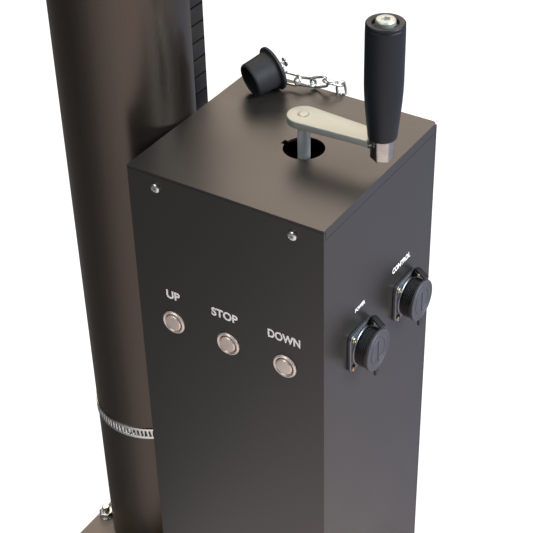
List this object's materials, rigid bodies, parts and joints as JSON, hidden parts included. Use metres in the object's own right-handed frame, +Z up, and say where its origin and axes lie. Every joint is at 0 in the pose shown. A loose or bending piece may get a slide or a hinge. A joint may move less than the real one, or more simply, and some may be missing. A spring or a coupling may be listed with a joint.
{
  "type": "electric telescopic mast",
  "caption": "Tubular telescopic mast beside a sheet-metal drive box with push buttons, capped connectors, a removable hand crank, hose clamp and cable chain.",
  "frame": {"origin": "on the mast's axis, at the underside of the gear case", "axes": "+Z up along the mast, +X from the mast to the drive box, -Y the side with the buttons"},
  "size_m": [0.3225, 0.2209, 1.021],
  "materials": {
    "painted_steel": "dark warm grey, satin",
    "base_paint": "brown grey, satin",
    "anodised_tube": "dark anodised, satin",
    "bare_aluminium": "machined",
    "zinc_steel": "bright zinc plated",
    "brushed_steel": "brushed",
    "screw_steel": "ground",
    "nut_bronze": "bearing bronze",
    "gear_iron": "machined teeth",
    "black_rubber": "matte",
    "black_plastic": "matte",
    "grip_plastic": "fine matte",
    "board_plastic": "circuit board"
  },
  "bodies": {
    "base": {"gear_case": "base_paint", "base_plate": "base_paint", "base_bolts": "zinc_steel", "outer_tube": "anodised_tube", "tube_foot": "bare_aluminium", "screw_bearing": "nut_bronze", "outer_collar": "anodised_tube", "idler_pin": "screw_steel", "reducer": "bare_aluminium", "motor": "black_plastic", "shaft_guide": "zinc_steel", "control_board": "board_plastic", "box_shell": "painted_steel", "back_panel": "painted_steel", "lid": "painted_steel", "box_screws": "zinc_steel", "up_button_body": "brushed_steel", "stop_button_body": "brushed_steel", "down_button_body": "brushed_steel", "button_nuts": "zinc_steel", "power_connector": "black_plastic", "control_connector": "black_plastic", "power_cap_strap": "black_rubber", "control_cap_strap": "black_rubber", "connector_screws": "zinc_steel", "plug": "black_rubber", "plug_chain": "zinc_steel", "clamp_band": "zinc_steel", "clamp_housing": "zinc_steel", "clamp_screw": "zinc_steel", "cable_chain_fixed": "black_plastic", "fixed_chain_bracket": "zinc_steel"},
    "section_2": {"middle_tube": "anodised_tube", "middle_piston": "black_plastic", "middle_nut": "nut_bronze", "carrier_bearing": "nut_bronze", "middle_collar": "anodised_tube"},
    "section_3": {"inner_tube": "anodised_tube", "inner_piston": "black_plastic", "inner_nut": "nut_bronze", "top_flange": "bare_aluminium", "moving_chain_bracket": "zinc_steel", "cable_chain_moving": "black_plastic"},
    "lower_screw_unit": {"lower_screw": "screw_steel", "screw_gear": "gear_iron"},
    "upper_screw_unit": {"upper_screw": "screw_steel"},
    "idler": {"idler_gear": "gear_iron"},
    "crank": {"drive_pinion": "gear_iron", "drive_shaft": "screw_steel", "crank_shaft": "zinc_steel", "crank_arm": "zinc_steel", "crank_nut": "zinc_steel", "grip_bolt": "zinc_steel"},
    "grip": {"grip": "grip_plastic"},
    "up_button": {"up_button": "brushed_steel"},
    "stop_button": {"stop_button": "brushed_steel"},
    "down_button": {"down_button": "brushed_steel"},
    "power_cap": {"power_cap": "black_rubber"},
    "control_cap": {"control_cap": "black_rubber"}
  },
  "joints": [
    {"name": "mast_extend", "type": "slide", "parent": "base", "child": "section_2", "axis": [0, 0, 1], "range_m": [0, 0.68]},
    {"name": "section_3_extend", "type": "slide", "parent": "section_2", "child": "section_3", "axis": [0, 0, 1], "range_m": [0, 0.68]},
    {"name": "lower_screw_turn", "type": "hinge", "parent": "base", "child": "lower_screw_unit", "pos_m": [0, 0, 0], "axis": [0, 0, 1], "range_deg": [0, 12241]},
    {"name": "upper_screw_turn", "type": "hinge", "parent": "section_2", "child": "upper_screw_unit", "pos_m": [0, 0, 0], "axis": [0, 0, 1], "range_deg": [0, 12241]},
    {"name": "idler_turn", "type": "hinge", "parent": "base", "child": "idler", "pos_m": [0.0959, -0.00442, 0.02], "axis": [0, 0, 1], "range_deg": [-10800.88, 0]},
    {"name": "crank_turn", "type": "hinge", "parent": "base", "child": "crank", "pos_m": [0.166, 0.012, 0.5], "axis": [0, 0, 1], "range_deg": [0, 26230.71]},
    {"name": "grip_spin", "type": "hinge", "parent": "crank", "child": "grip", "pos_m": [0.236, 0.012, 0.6], "axis": [0, 0, 1], "continuous": true},
    {"name": "up_press", "type": "slide", "parent": "base", "child": "up_button", "axis": [0, 1, 0], "range_m": [0, 0.0025], "stiffness_N_per_m": 400, "springref_m": -0.002},
    {"name": "stop_press", "type": "slide", "parent": "base", "child": "stop_button", "axis": [0, 1, 0], "range_m": [0, 0.0025], "stiffness_N_per_m": 400, "springref_m": -0.002},
    {"name": "down_press", "type": "slide", "parent": "base", "child": "down_button", "axis": [0, 1, 0], "range_m": [0, 0.0025], "stiffness_N_per_m": 400, "springref_m": -0.002},
    {"name": "power_cap_pull", "type": "slide", "parent": "base", "child": "power_cap", "axis": [1, 0, 0], "range_m": [0, 0.02]},
    {"name": "control_cap_pull", "type": "slide", "parent": "base", "child": "control_cap", "axis": [1, 0, 0], "range_m": [0, 0.02]}
  ],
  "couplings": [
    {"joint": "section_3_extend", "follows": "mast_extend", "ratio": 1},
    {"joint": "lower_screw_turn", "follows": "mast_extend", "rad_per_m": 314.16},
    {"joint": "upper_screw_turn", "follows": "mast_extend", "rad_per_m": 314.16},
    {"joint": "idler_turn", "follows": "mast_extend", "rad_per_m": -277.2},
    {"joint": "crank_turn", "follows": "mast_extend", "rad_per_m": 673.2}
  ]
}
